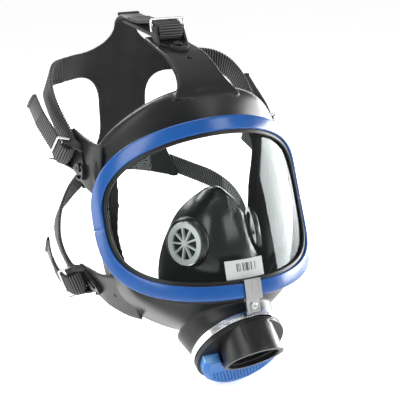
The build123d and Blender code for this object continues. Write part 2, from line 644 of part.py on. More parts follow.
def nose_valve_plane():
    return Plane(origin=NOSE_VALVE, x_dir=(0, 0.08, 0.35), z_dir=NOSE_VALVE_OUT)


def inner_valve_seat():
    seat = spoked_seat(NOSE_VALVE_R, 12.2, 2.6, 2.2, 9) + tube(1.3, 0, -4.2, 0.2)
    return nose_valve_plane() * seat


def inner_valve_disc():
    return nose_valve_plane() * tube(13.6, 1.6, -0.9, -0.1)


def main():
    upper, lower = frame_halves()
    save("visor", visor())
    save("visor_frame_upper", upper)
    save("visor_frame_lower", lower)
    save("face_blank", face_blank())
    save("centre_bracket", centre_bracket())
    save("bracket_screw", bracket_screw())
    save("rating_label", label())
    save("band_clamp", band_clamp())
    save("connector_housing", connector_housing())
    save("inlet_gasket", inlet_gasket())
    save("inlet_valve_seat", inlet_valve_seat())
    save("inlet_valve_disc", inlet_valve_disc())
    save("exhalation_valve_seat", exhalation_valve_seat())
    save("exhalation_valve_disc", exhalation_valve_disc())
    save("exhalation_cover", exhalation_cover())
    save("inner_mask", inner_mask())
    save_pair("inner_valve_seat", inner_valve_seat())
    save_pair("inner_valve_disc", inner_valve_disc())
    save("harness_plate", harness_plate())
    save("strap_forehead", forehead_strap())
    save_pair("strap_temple", temple_strap())
    save_pair("strap_jaw", jaw_strap())
    pieces = {"buckle_base": buckle_base(), "buckle_roller": buckle_roller(), "buckle_wire": buckle_wire()}
    for name, piece in pieces.items():
        save(name + "_forehead", buckle_plane(FOREHEAD) * piece)
        save_pair(name + "_temple", buckle_plane(TEMPLE) * piece)
        save_pair(name + "_jaw", buckle_plane(JAW) * piece)
    studs = [buckle_plane(place) * buckle_stud() for place in (FOREHEAD, TEMPLE, JAW)]
    studs += [mirror(stud, Plane.YZ) for stud in studs[1:]]
    save("buckle_studs", Compound(children=studs))


main()
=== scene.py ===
import json
import math

import bmesh
import bpy
from mathutils import Matrix, Vector

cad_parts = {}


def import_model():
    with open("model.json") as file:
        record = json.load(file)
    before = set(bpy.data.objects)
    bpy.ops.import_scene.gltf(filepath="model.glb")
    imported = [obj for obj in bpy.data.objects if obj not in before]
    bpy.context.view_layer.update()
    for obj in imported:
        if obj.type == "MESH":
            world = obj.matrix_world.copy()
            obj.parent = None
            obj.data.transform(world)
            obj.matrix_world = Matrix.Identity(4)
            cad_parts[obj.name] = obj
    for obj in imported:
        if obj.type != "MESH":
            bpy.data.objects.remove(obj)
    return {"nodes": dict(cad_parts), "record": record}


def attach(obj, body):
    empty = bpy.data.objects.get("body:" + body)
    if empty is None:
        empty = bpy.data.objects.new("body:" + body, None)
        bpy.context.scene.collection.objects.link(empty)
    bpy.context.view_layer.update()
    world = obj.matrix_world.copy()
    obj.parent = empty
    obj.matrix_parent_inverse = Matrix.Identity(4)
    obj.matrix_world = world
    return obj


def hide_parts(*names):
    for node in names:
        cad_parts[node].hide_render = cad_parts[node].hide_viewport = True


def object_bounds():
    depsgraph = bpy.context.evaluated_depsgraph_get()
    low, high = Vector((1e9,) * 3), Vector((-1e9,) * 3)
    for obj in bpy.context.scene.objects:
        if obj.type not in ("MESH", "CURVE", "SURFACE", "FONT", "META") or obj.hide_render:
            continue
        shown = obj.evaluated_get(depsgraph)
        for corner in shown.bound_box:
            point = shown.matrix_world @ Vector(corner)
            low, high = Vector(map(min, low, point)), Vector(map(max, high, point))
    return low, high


# Full-face mask. Shapes below are worked out in millimetres and written to meshes in metres.
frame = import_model()
cad_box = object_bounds()
MM = 0.001
BODY_OF = {node: body for body, nodes in frame["record"]["behaviour"]["bodies"].items() for node in nodes}

# The wall that the visor and its frame lie on
PLAN_HALF_WIDTH, PLAN_DEPTH, PLAN_POWER = 95.0, 80.2, 1.8
LEAN, BOW, BOW_HEIGHT, TAPER = 0.253, 3.15, 66.0, -0.000277
RING_HALF_ARC, RING_TOP, RING_BOTTOM = 120.4, 69.6, 64.4
TOP_POWER, BOTTOM_POWER = 1.9, 3.16
HALF_STRIP = 5.65
JOINT_HEIGHT = -12.0
LABEL_HEIGHT = -43.0
STATION_COUNT = 288
BODY_BACK = 12.0
RUBBER = 2.6
VISOR_FRONT, VISOR_THICK, VISOR_EDGE, VISOR_LEAN_IN = 4.6, 2.0, 1.6, 2.4

# Rings of the facepiece body: (angle round the ring in degrees, x, y, z)
BULGE = [(-90, 0, -56, -100), (-60, 66, -40, -70), (-30, 80.5, -22, -34), (0, 84, -9, 5),
         (30, 80, -6, 47), (60, 47, -28, 78.5), (90, 0, -36, 88)]
REAR_EDGE = [(-90, 0, -8, -112), (-60, 58, 12, -84), (-30, 72, 19, -38), (0, 73, 13, 0),
             (30, 73, 7, 42), (60, 43, -8, 73), (90, 0, -17, 86.5)]
SEAL_LIP = [(-90, 0, -14, -92), (-60, 45, 4, -68), (-30, 58, 10, -33), (0, 59, 6, 0),
            (30, 59, -1, 35), (60, 36, -15, 60), (90, 0, -24, 72)]

# Port and inlet, at the chin
PORT_CENTRE, PORT_PITCH = Vector((0, -67.1, -106.0)), 40.0
INLET_MOUTH, INLET_PITCH = Vector((0, -92.4, -113.5)), 57.0
COLLAR_OUT, COLLAR_IN, COLLAR_FRONT = 35.6, 32.6, 3.5
COLLAR_REACH, COLLAR_SLANT, COLLAR_FLARE = 22.3, 6.6, 0.2176
THREAD_R, THREAD_LENGTH, THREAD_PITCH = 20.2, 17.0, 3.63

# Straps and buckles
STRAP_HALF, STRAP_THICK = 10.0, 2.4
RIB_PITCH, RIB_HEIGHT = 2.3, 0.8
TAB_LENGTH = 20.0
ROLLER_Y, ROLLER_Z, ROLLER_R, LOOP_GAP = 17.5, 8.0, 4.4, 0.3
FOREHEAD = (Vector((0, 7.5, 117.6)), Vector((0, 0.96, 0.28)), Vector((0, -0.28, 0.96)))
TEMPLE = (Vector((-83.0, 20.0, 29.8)), Vector((0, 0.65, 0.76)), Vector((-1, 0, 0)))
JAW = (Vector((-74.0, 29.2, -67.4)), Vector((-0.153, 0.947, 0.262)), Vector((-0.897, -0.028, -0.426)))


# ---- materials

def node_tree(name):
    material = bpy.data.materials.new(name)
    material.use_nodes = True
    nodes = material.node_tree.nodes
    return material, nodes, material.node_tree.links, nodes["Principled BSDF"]


def finish(name, dark, light, scale, rough, bump, bump_scale, stretch=(1, 1, 1), wear=None, **constants):
    """A surface whose colour and gloss drift between two tones, with a fine grain in its relief."""
    material, nodes, links, shader = node_tree(name)
    place = nodes.new("ShaderNodeTexCoord")
    stretched = nodes.new("ShaderNodeMapping")
    stretched.inputs["Scale"].default_value = stretch
    links.new(place.outputs["Object"], stretched.inputs["Vector"])
    drift = nodes.new("ShaderNodeTexNoise")
    drift.inputs["Scale"].default_value = scale
    drift.inputs["Detail"].default_value = 5
    links.new(stretched.outputs["Vector"], drift.inputs["Vector"])
    tones = nodes.new("ShaderNodeValToRGB")
    tones.color_ramp.elements[0].position = 0.3
    tones.color_ramp.elements[1].position = 0.7
    tones.color_ramp.elements[0].color = (*dark, 1)
    tones.color_ramp.elements[1].color = (*light, 1)
    links.new(drift.outputs["Fac"], tones.inputs["Fac"])
    colour = tones.outputs["Color"]
    if wear:
        edges = nodes.new("ShaderNodeNewGeometry")
        worn = nodes.new("ShaderNodeMapRange")
        worn.inputs["From Min"].default_value = 0.53
        worn.inputs["From Max"].default_value = 0.62
        links.new(edges.outputs["Pointiness"], worn.inputs["Value"])
        mixed = nodes.new("ShaderNodeMix")
        mixed.data_type = "RGBA"
        links.new(worn.outputs["Result"], mixed.inputs["Factor"])
        links.new(colour, mixed.inputs["A"])
        mixed.inputs["B"].default_value = (*wear, 1)
        colour = mixed.outputs["Result"]
    links.new(colour, shader.inputs["Base Color"])
    gloss = nodes.new("ShaderNodeMapRange")
    gloss.inputs["From Min"].default_value = 0.3
    gloss.inputs["From Max"].default_value = 0.7
    gloss.inputs["To Min"].default_value = rough[0]
    gloss.inputs["To Max"].default_value = rough[1]
    links.new(drift.outputs["Fac"], gloss.inputs["Value"])
    links.new(gloss.outputs["Result"], shader.inputs["Roughness"])
    grain = nodes.new("ShaderNodeTexNoise")
    grain.inputs["Scale"].default_value = bump_scale
    grain.inputs["Detail"].default_value = 3
    links.new(stretched.outputs["Vector"], grain.inputs["Vector"])
    relief = nodes.new("ShaderNodeBump")
    relief.inputs["Strength"].default_value = bump
    relief.inputs["Distance"].default_value = 0.0002
    links.new(grain.outputs["Fac"], relief.inputs["Height"])
    links.new(relief.outputs["Normal"], shader.inputs["Normal"])
    for socket, value in constants.items():
        shader.inputs[socket.replace("_", " ")].default_value = value
    return material


def clear_pane(name):
    """A thin clear pane: what is behind it shows straight through, under a sharp reflection."""
    material, nodes, links, shader = node_tree(name)
    through = nodes.new("ShaderNodeBsdfTransparent")
    through.inputs["Color"].default_value = (0.95, 0.97, 0.965, 1)
    mirror_side = nodes.new("ShaderNodeFresnel")
    mirror_side.inputs["IOR"].default_value = 1.34
    place = nodes.new("ShaderNodeTexCoord")
    smears = nodes.new("ShaderNodeTexNoise")
    smears.inputs["Scale"].default_value = 22
    smears.inputs["Detail"].default_value = 6
    links.new(place.outputs["Object"], smears.inputs["Vector"])
    gloss = nodes.new("ShaderNodeMapRange")
    gloss.inputs["To Min"].default_value = 0.02
    gloss.inputs["To Max"].default_value = 0.09
    links.new(smears.outputs["Fac"], gloss.inputs["Value"])
    links.new(gloss.outputs["Result"], shader.inputs["Roughness"])
    shader.inputs["Base Color"].default_value = (0.75, 0.8, 0.8, 1)
    shader.inputs["Metallic"].default_value = 1.0
    mix = nodes.new("ShaderNodeMixShader")
    inside = nodes.new("ShaderNodeNewGeometry")
    outer_only = nodes.new("ShaderNodeMath")
    outer_only.operation = "SUBTRACT"
    outer_only.use_clamp = True
    links.new(mirror_side.outputs["Fac"], outer_only.inputs[0])
    links.new(inside.outputs["Backfacing"], outer_only.inputs[1])
    links.new(outer_only.outputs["Value"], mix.inputs["Fac"])
    links.new(through.outputs["BSDF"], mix.inputs[1])
    links.new(shader.outputs["BSDF"], mix.inputs[2])
    links.new(mix.outputs["Shader"], nodes["Material Output"].inputs["Surface"])
    return material


def striped_label(name):
    """A pale plate with a block of upright bars of uneven width, none of them letters."""
    material, nodes, links, shader = node_tree(name)
    place = nodes.new("ShaderNodeTexCoord")
    apart = nodes.new("ShaderNodeSeparateXYZ")
    links.new(place.outputs["Object"], apart.inputs["Vector"])

    def step(operation, source, value):
        node = nodes.new("ShaderNodeMath")
        node.operation = operation
        links.new(source, node.inputs[0])
        if isinstance(value, float):
            node.inputs[1].default_value = value
        else:
            links.new(value, node.inputs[1])
        return node.outputs["Value"]

    bars = nodes.new("ShaderNodeTexWhiteNoise")
    bars.noise_dimensions = "1D"
    links.new(step("SNAP", apart.outputs["X"], 0.55 * MM), bars.inputs["W"])
    printed = step("GREATER_THAN", bars.outputs["Value"], 0.5)
    for axis, middle, half in (("X", 0.0, 8.5), ("Z", LABEL_HEIGHT + 0.6, 3.0)):
        offset = step("SUBTRACT", apart.outputs[axis], middle * MM)
        away = step("MULTIPLY", offset, offset)
        printed = step("MULTIPLY", printed, step("LESS_THAN", away, (half * MM) ** 2))
    mixed = nodes.new("ShaderNodeMix")
    mixed.data_type = "RGBA"
    mixed.inputs["A"].default_value = (0.42, 0.43, 0.43, 1)
    mixed.inputs["B"].default_value = (0.05, 0.05, 0.055, 1)
    links.new(printed, mixed.inputs["Factor"])
    links.new(mixed.outputs["Result"], shader.inputs["Base Color"])
    shader.inputs["Roughness"].default_value = 0.4
    return material


BLUE = finish("frame_blue_plastic", (0.0, 0.05, 0.215), (0.001, 0.066, 0.26), 30, (0.18, 0.26), 0.05, 1500,
              wear=(0.03, 0.2, 0.5), Specular_IOR_Level=0.5)
COVER = finish("cover_blue_plastic", (0.01, 0.11, 0.36), (0.02, 0.15, 0.44), 40, (0.3, 0.42), 0.12, 1800,
               wear=(0.2, 0.4, 0.7), Specular_IOR_Level=0.4)
RUBBER_SKIN = finish("facepiece_rubber", (0.007, 0.0075, 0.0075), (0.012, 0.0125, 0.0125), 18, (0.3, 0.4),
                     0.035, 700, Specular_IOR_Level=0.25)
STRAP_SKIN = finish("strap_rubber", (0.007, 0.0072, 0.0072), (0.012, 0.0125, 0.0125), 60, (0.38, 0.5),
                    0.2, 1200, Specular_IOR_Level=0.22)
# Rib crests are painted much lighter than the strap rubber. This is a painted highlight on each crest, so the
# grooves read dark beside it.
RIB_PAINTED_HIGHLIGHT = finish("strap_rib_crest_painted_highlight", (0.05, 0.051, 0.051), (0.075, 0.077, 0.077), 60, (0.34, 0.44),
                  0.2, 1200, Specular_IOR_Level=0.3)
TAB_SKIN = finish("strap_tab_rubber", (0.028, 0.029, 0.029), (0.042, 0.043, 0.043), 40, (0.4, 0.5),
                  0.25, 1200, Specular_IOR_Level=0.3)
CUP_SKIN = finish("nose_cup_rubber", (0.004, 0.004, 0.0045), (0.007, 0.007, 0.0075), 24, (0.18, 0.27),
                  0.08, 700, Specular_IOR_Level=0.45)
BLACK = finish("black_plastic", (0.006, 0.006, 0.0065), (0.012, 0.0125, 0.013), 35, (0.26, 0.38), 0.18, 1400,
               wear=(0.045, 0.045, 0.045), Specular_IOR_Level=0.28)
GREY = finish("pale_grey_plastic", (0.42, 0.44, 0.43), (0.52, 0.53, 0.52), 45, (0.35, 0.45), 0.1, 1300,
              Specular_IOR_Level=0.5)
STEEL = finish("polished_steel", (0.52, 0.53, 0.54), (0.7, 0.71, 0.72), 60, (0.14, 0.3), 0.25, 260,
               stretch=(1, 1, 12), wear=(0.85, 0.85, 0.85), Metallic=1.0)
CLIP_STEEL = finish("brushed_clip", (0.16, 0.165, 0.17), (0.26, 0.265, 0.27), 70, (0.28, 0.42), 0.35, 300,
                    stretch=(14, 1, 1), wear=(0.6, 0.6, 0.6), Metallic=1.0)
SILICONE = finish("valve_silicone", (0.3, 0.3, 0.29), (0.42, 0.42, 0.4), 50, (0.4, 0.5), 0.1, 900,
                  Specular_IOR_Level=0.5)
CLEAR = clear_pane("visor_pane")
LABEL = striped_label("label_print")


# ---- meshes

def mesh_object(name, points, faces, materials, sharp=40.0):
    mesh = bpy.data.meshes.new(name)
    mesh.from_pydata([tuple(p * MM) for p in points], [], faces)
    work = bmesh.new()
    work.from_mesh(mesh)
    bmesh.ops.recalc_face_normals(work, faces=work.faces)
    work.to_mesh(mesh)
    work.free()
    piece = bpy.data.objects.new(name, mesh)
    bpy.context.scene.collection.objects.link(piece)
    for material in materials:
        mesh.materials.append(material)
    mesh.polygons.foreach_set("use_smooth", [True] * len(mesh.polygons))
    mesh.set_sharp_from_angle(angle=math.radians(sharp))
    return piece


def skin(name, rings, materials, closed=False, sharp=40.0):
    """A closed surface over rings of points; open runs get an end cap at both ends."""
    size = len(rings[0])
    points = [p for ring in rings for p in ring]
    faces = []
    for i in range(len(rings) - (0 if closed else 1)):
        here, there = i * size, (i + 1) % len(rings) * size
        for j in range(size):
            k = (j + 1) % size
            faces.append((here + j, here + k, there + k, there + j))
    if not closed:
        faces += [tuple(range(size))[::-1], tuple((len(rings) - 1) * size + j for j in range(size))]
    return mesh_object(name, points, faces, materials, sharp)


def add_modifier(piece, kind, **settings):
    modifier = piece.modifiers.new(kind.lower(), kind)
    for setting, value in settings.items():
        setattr(modifier, setting, value)
    return modifier


def apply_modifiers(piece):
    """Turns the piece's modifiers into its mesh."""
    bpy.context.view_layer.update()
    shaped = bpy.data.meshes.new_from_object(piece.evaluated_get(bpy.context.evaluated_depsgraph_get()))
    piece.modifiers.clear()
    piece.data = shaped


def joined(name, pieces):
    """One object from several, each a closed surface."""
    work = bmesh.new()
    for piece in pieces:
        work.from_mesh(piece.data)
    mesh = bpy.data.meshes.new(name)
    work.to_mesh(mesh)
    work.free()
    mesh.materials.append(pieces[0].data.materials[0])
    for piece in pieces:
        bpy.data.objects.remove(piece)
    whole = bpy.data.objects.new(name, mesh)
    bpy.context.scene.collection.objects.link(whole)
    return whole


def mirrored(piece, name):
    """The twin, across the mid-plane, of a piece that has no modifiers."""
    mesh = piece.data.copy()
    mesh.transform(Matrix.Scale(-1, 4, (1, 0, 0)))
    mesh.flip_normals()
    twin = bpy.data.objects.new(name, mesh)
    bpy.context.scene.collection.objects.link(twin)
    return twin


def place(piece, body, slot, *nodes):
    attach(piece, body)
    if nodes:
        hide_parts(*nodes)


def rounded(node, material, slot, width, sharp=32.0, segments=2):
    """The CAD node's own shape with its edges rounded over."""
    source = frame["nodes"][node]
    work = bmesh.new()
    work.from_mesh(source.data)
    bmesh.ops.remove_doubles(work, verts=work.verts, dist=2e-6)
    bmesh.ops.dissolve_limit(work, angle_limit=math.radians(0.8), verts=work.verts, edges=work.edges)
    mesh = bpy.data.meshes.new(node + "_finish")
    work.to_mesh(mesh)
    work.free()
    mesh.materials.append(material)
    mesh.polygons.foreach_set("use_smooth", [True] * len(mesh.polygons))
    piece = bpy.data.objects.new(node + "_finish", mesh)
    bpy.context.scene.collection.objects.link(piece)
    mesh.set_sharp_from_angle(angle=math.radians(sharp))
    add_modifier(piece, "BEVEL", width=width * MM, segments=segments, limit_method="ANGLE",
                 angle_limit=math.radians(sharp), harden_normals=True)
    place(piece, BODY_OF[node], slot, node)
    return piece


# ---- the wall, its outline and the body's rings

def plan_table():
    rows = [(0.0, 0.0, -PLAN_DEPTH)]
    for step in range(1, 361):
        angle = math.radians(step / 4)
        x = PLAN_HALF_WIDTH * math.sin(angle) ** (2 / PLAN_POWER)
        y = -PLAN_DEPTH * max(math.cos(angle), 0.0) ** (2 / PLAN_POWER)
        length, last_x, last_y = rows[-1]
        rows.append((length + math.hypot(x - last_x, y - last_y), x, y))
    return rows


PLAN = plan_table()


def plan_point(arc):
    if arc >= PLAN[-1][0]:
        return PLAN[-1][1], PLAN[-1][2] + arc - PLAN[-1][0]
    after = next(i for i, row in enumerate(PLAN) if row[0] > arc)
    (low, x0, y0), (high, x1, y1) = PLAN[after - 1], PLAN[after]
    share = (arc - low) / (high - low)
    return x0 + share * (x1 - x0), y0 + share * (y1 - y0)


def wall_point(arc, z):
    x, y = plan_point(abs(arc))
    scale = 1 + TAPER * z
    return Vector((math.copysign(scale * x, arc), scale * y + LEAN * z + BOW * (z / BOW_HEIGHT) ** 2, z))


def wall_normal(arc, z):
    along = wall_point(arc + 0.5, z) - wall_point(arc - 0.5, z)
    up = wall_point(arc, z + 0.5) - wall_point(arc, z - 0.5)
    return along.cross(up).normalized()


def signed_power(value, power):
    return math.copysign(abs(value) ** power, value)


def outline(angle, inset):
    power = 2 / (TOP_POWER if math.sin(angle) > 0 else BOTTOM_POWER)
    height = (RING_TOP if math.sin(angle) > 0 else RING_BOTTOM) - inset
    return ((RING_HALF_ARC - inset) * signed_power(math.cos(angle), power),
            height * signed_power(math.sin(angle), power))


def ring_stations():
    """Evenly spaced frames round the strip's middle line: point, outwards, out of the wall, angle."""
    fine = [2 * math.pi * (i + 0.5) / 2880 for i in range(2881)]
    points = [wall_point(*outline(a, HALF_STRIP)) for a in fine]
    lengths = [0.0]
    for p, q in zip(points, points[1:]):
        lengths.append(lengths[-1] + (q - p).length)
    result = []
    i = 1
    for k in range(STATION_COUNT):
        target = (k + 0.5) * lengths[-1] / STATION_COUNT
        while lengths[i] < target:
            i += 1
        tangent = (points[i + 1] - points[i - 1]).normalized()
        outwards = tangent.cross(wall_normal(*outline(fine[i], HALF_STRIP))).normalized()
        result.append((points[i], outwards, outwards.cross(tangent).normalized(), fine[i]))
    return result


STATIONS = ring_stations()


def station_point(station, a, depth):
    point, outwards, normal, _ = station
    return point + outwards * a - normal * depth


def smooth_row(rows, where):
    """A smooth curve through rows that start with their place along it."""
    last = len(rows) - 1
    i = max(min(next((n for n, row in enumerate(rows) if row[0] > where), last) - 1, last - 1), 0)
    low, high = rows[i], rows[i + 1]
    before, after = rows[max(i - 1, 0)], rows[min(i + 2, last)]
    span = high[0] - low[0]
    t = (where - low[0]) / span
    result = []
    for k in range(1, len(low)):
        start = (high[k] - before[k]) / (high[0] - before[0]) * span
        end = (after[k] - low[k]) / (after[0] - low[0]) * span
        result.append((2 * t**3 - 3 * t**2 + 1) * low[k] + (t**3 - 2 * t**2 + t) * start
                      + (3 * t**2 - 2 * t**3) * high[k] + (t**3 - t**2) * end)
    return result


def body_ring(angle, ring):
    low = [(-180 - a, -x, y, z) for a, x, y, z in ring[2:0:-1]]
    high = [(180 - a, -x, y, z) for a, x, y, z in ring[-2:-4:-1]]
    x, y, z = smooth_row(low + ring + high, math.degrees(math.asin(math.sin(angle))))
    return Vector((math.copysign(x, math.cos(angle)), y, z))


def fillet(profile, radius, parts=3):
    """A closed outline with its corners rounded; radius is one number or one for each corner."""
    result = []
    for i, corner in enumerate(profile):
        corner = Vector(corner)
        back = Vector(profile[i - 1]) - corner
        ahead = Vector(profile[(i + 1) % len(profile)]) - corner
        size = radius[i] if isinstance(radius, (list, tuple)) else radius
        size = min(size, back.length * 0.48, ahead.length * 0.48)
        start, end = corner + back.normalized() * size, corner + ahead.normalized() * size
        for k in range(parts + 1):
            t = k / parts
            result.append(start * (1 - t) ** 2 + corner * (2 * t * (1 - t)) + end * t**2)
    return result


# ---- visor and frame

def visor():
    arc_steps = 110
    rings = []
    for step in range(-32, 33):
        angle = math.radians(step * 2.6)
        half_arc, z = outline(angle, HALF_STRIP - VISOR_EDGE + VISOR_LEAN_IN * max(math.sin(angle), 0))
        front, back = [], []
        for i in range(arc_steps + 1):
            arc = half_arc * (2 * i / arc_steps - 1)
            level = wall_normal(arc, z)
            level.z = 0
            level /= level.length_squared
            front.append(wall_point(arc, z) - level * VISOR_FRONT)
            back.append(wall_point(arc, z) - level * (VISOR_FRONT + VISOR_THICK))
        rings.append(front + back[::-1])
    piece = skin("visor_pane_piece", rings, [CLEAR])
    place(piece, "facepiece", "visor_clear", "visor")


def between(near, far, gap):
    """A frame short of the middle between two stations, on the near one's side."""
    point, outwards, normal = ((p + q) / 2 for p, q in zip(near[:3], far[:3]))
    return point + (near[0] - far[0]).normalized() * gap, outwards.normalized(), normal.normalized(), near[3]


def frame_halves():
    section = fillet([(-5.65, 1.8), (-5.65, 0), (0, -0.25), (5.65, 0), (5.65, 10.9), (1.9, 10.9), (1.9, 9.3),
                      (3.9, 9.3), (3.9, 1.8)], [0.3, 1.1, 4, 1.9, 0.7, 0.4, 0.2, 0.2, 0.4], 5)
    upper = [s for s in STATIONS if s[0].z > JOINT_HEIGHT]
    first = upper.index(min(upper, key=lambda s: (s[0].x < 0, s[0].z)))
    upper = upper[first:] + upper[:first]
    lower = sorted((s for s in STATIONS if s[0].z <= JOINT_HEIGHT), key=lambda s: s[3])
    gap = 0.12
    for here, there in ((upper, lower), (lower, upper)):
        here[:0] = [between(here[0], there[-1], gap)]
    for here, there in ((upper, lower), (lower, upper)):
        here.append(between(here[-1], there[1], gap))
    for name, run in (("visor_frame_upper", upper), ("visor_frame_lower", lower)):
        rings = [[station_point(s, a, d) for a, d in section] for s in run]
        for end in (0, -1):
            middle = sum(rings[end], Vector()) / len(section)
            rings[end] = [p + (middle - p).normalized() * 0.25 for p in rings[end]]
        piece = skin(name + "_piece", rings, [BLUE], sharp=50)
        place(piece, "facepiece", "frame_blue", name)


# ---- facepiece

def plane_of(origin, pitch):
    """Axes at a point on the mid-plane whose Z points forwards and down by pitch degrees."""
    angle = math.radians(pitch)
    z = Vector((0, -math.cos(angle), -math.sin(angle)))
    x = Vector((1, 0, 0))
    return Matrix.Translation(origin) @ Matrix((x, z.cross(x), z)).transposed().to_4x4()


PORT = plane_of(PORT_CENTRE, PORT_PITCH)
INLET = plane_of(INLET_MOUTH, INLET_PITCH)


def lathe(name, axes, profile, materials, steps=96, sharp=35.0):
    """A closed turned piece: profile is (radius, height) round the axes' Z."""
    rings = []
    for i in range(steps):
        angle = 2 * math.pi * i / steps
        rings.append([axes @ Vector((r * math.cos(angle), r * math.sin(angle), h)) for r, h in profile])
    return skin(name, rings, materials, closed=True, sharp=sharp)


def buckle_axes(where):
    stud, along, normal = where
    along = along.normalized()
    across = along.cross(normal).normalized()
    return Matrix.Translation(stud) @ Matrix((across, along, across.cross(along))).transposed().to_4x4()


def at(where, y, z, x=0.0):
    return buckle_axes(where) @ Vector((x, y, z))


def path_rows(stations):
    rows = []
    for middle, half, across, outward in stations:
        middle, across, outward = Vector(middle), Vector(across).normalized(), Vector(outward)
        outward = (outward - across * outward.dot(across)).normalized()
        where = rows[-1][0] + (middle - Vector(rows[-1][1:4])).length if rows else 0.0
        rows.append((where, *middle, half, *across, *outward))
    return rows


def path_frame(rows, where):
    row = smooth_row(rows, where)
    across = Vector(row[4:7]).normalized()
    outward = Vector(row[7:10])
    return Vector(row[:3]), row[3], across, (outward - across * outward.dot(across)).normalized()


def band(name, stations, thickness, materials, step=1.2, edge=0.9):
    """A smooth flat band with rounded edges."""
    rows = path_rows(stations)
    count = int(rows[-1][0] / step)
    rings = []
    for k in range(count + 1):
        middle, half, across, outward = path_frame(rows, rows[-1][0] * k / count)
        outline_2d = fillet([(-half, 0), (half, 0), (half, -thickness), (-half, -thickness)], edge)
        rings.append([middle + across * u + outward * w for u, w in outline_2d])
    return skin(name, rings, materials)


def tab_bands():
    x = (1, 0, 0)
    forehead = [((0, -39.5, 82.0), 29, x, (0, -0.97, 0.25)), ((0, -31, 94.0), 21.5, x, (0, -0.85, 0.53)),
                ((0, -16.5, 106.8), 18.8, x, (0, -0.58, 0.81)), (at(FOREHEAD, -12.5, -0.2), 18, x, FOREHEAD[2]),
                (at(FOREHEAD, -6, 0), 17.6, x, FOREHEAD[2]), (at(FOREHEAD, 2, 0), 17.1, x, FOREHEAD[2]),
                (at(FOREHEAD, 10, 0), 16.6, x, FOREHEAD[2]), (at(FOREHEAD, 20, 0), 15.8, x, FOREHEAD[2]),
                ((0, 36.5, 125.2), 14, x, (0, -0.15, 0.99)), ((0, 38.0, 125.4), 12.6, x, (0, -0.15, 0.99))]
    temple = [((-80.7, -10, 28.0), 21.5, (0, -0.2, 0.98), (-1, 0, 0)),
              ((-83.0, 3, 31.5), 21, (0, -0.3, 0.95), (-1, 0, 0)),
              ((-83.0, 22, 38.0), 18.5, (0, -0.45, 0.89), (-1, 0, 0)),
              ((-83.0, 43, 45.0), 17, (0, -0.5, 0.87), (-1, 0, 0))]
    side = buckle_axes(JAW).col[0].xyz
    jaw = [((-64.0, -20, -71.5), 24, (-0.42, -0.28, 0.86), (-0.82, -0.3, -0.49)),
           ((-67.3, -4, -72.8), 22, (-0.42, -0.28, 0.86), (-0.84, -0.2, -0.5))]
    jaw += [(at(JAW, y, 0), half, side, JAW[2]) for y, half in ((-13, 18), (-3, 16), (7, 14), (17, 12.5))]
    pieces = [band("forehead_tab", forehead, 3.0, [RUBBER_SKIN])]
    for stations in (temple, jaw):
        left = band("side_tab", stations, 3.0, [RUBBER_SKIN])
        pieces += [left, mirrored(left, "side_tab_twin")]
    return pieces


def bent(points, parts):
    """Points of a smooth curve through three points, with so many parts in each half."""
    p, q, r = points
    middle = (r - p) * 0.5
    result = []
    for low, high, leaving, arriving, count in ((p, q, q - p, middle, parts), (q, r, middle, r - q, parts + 1)):
        for k in range(count):
            t = k / parts
            result.append(low * (2 * t**3 - 3 * t**2 + 1) + leaving * (t**3 - 2 * t**2 + t)
                          + high * (3 * t**2 - 2 * t**3) + arriving * (t**3 - t**2))
    return result


def skin_line(station, share):
    """A point of the body's outer skin: 0 at the frame, 1 at the bulge, 2 at the rear edge."""
    angle = station[3]
    points = [station_point(station, 7.6, BODY_BACK), body_ring(angle, BULGE), body_ring(angle, REAR_EDGE)]
    return bent(points, 20)[round(share * 20)]


def collar():
    """The cone that holds the connector; its back end runs deeper into the body on its lower side."""
    rings = []
    for i in range(96):
        angle = 2 * math.pi * i / 96
        low_side = max(-math.sin(angle), 0.0)
        end = -COLLAR_REACH + COLLAR_SLANT * math.sin(angle)
        radius = COLLAR_OUT - COLLAR_FLARE * (end + 6)
        profile = fillet([(COLLAR_IN, COLLAR_FRONT), (COLLAR_OUT, COLLAR_FRONT), (COLLAR_OUT, -6), (radius, end),
                          (radius - 5 - 3 * low_side, end - 2 - 6 * low_side),
                          (radius - 8 - 3 * low_side, end - 4 * low_side), (COLLAR_IN, -10)], 0.6)
        rings.append([PORT @ Vector((r * math.cos(angle), r * math.sin(angle), h)) for r, h in profile])
    return skin("collar", rings, [RUBBER_SKIN], closed=True)


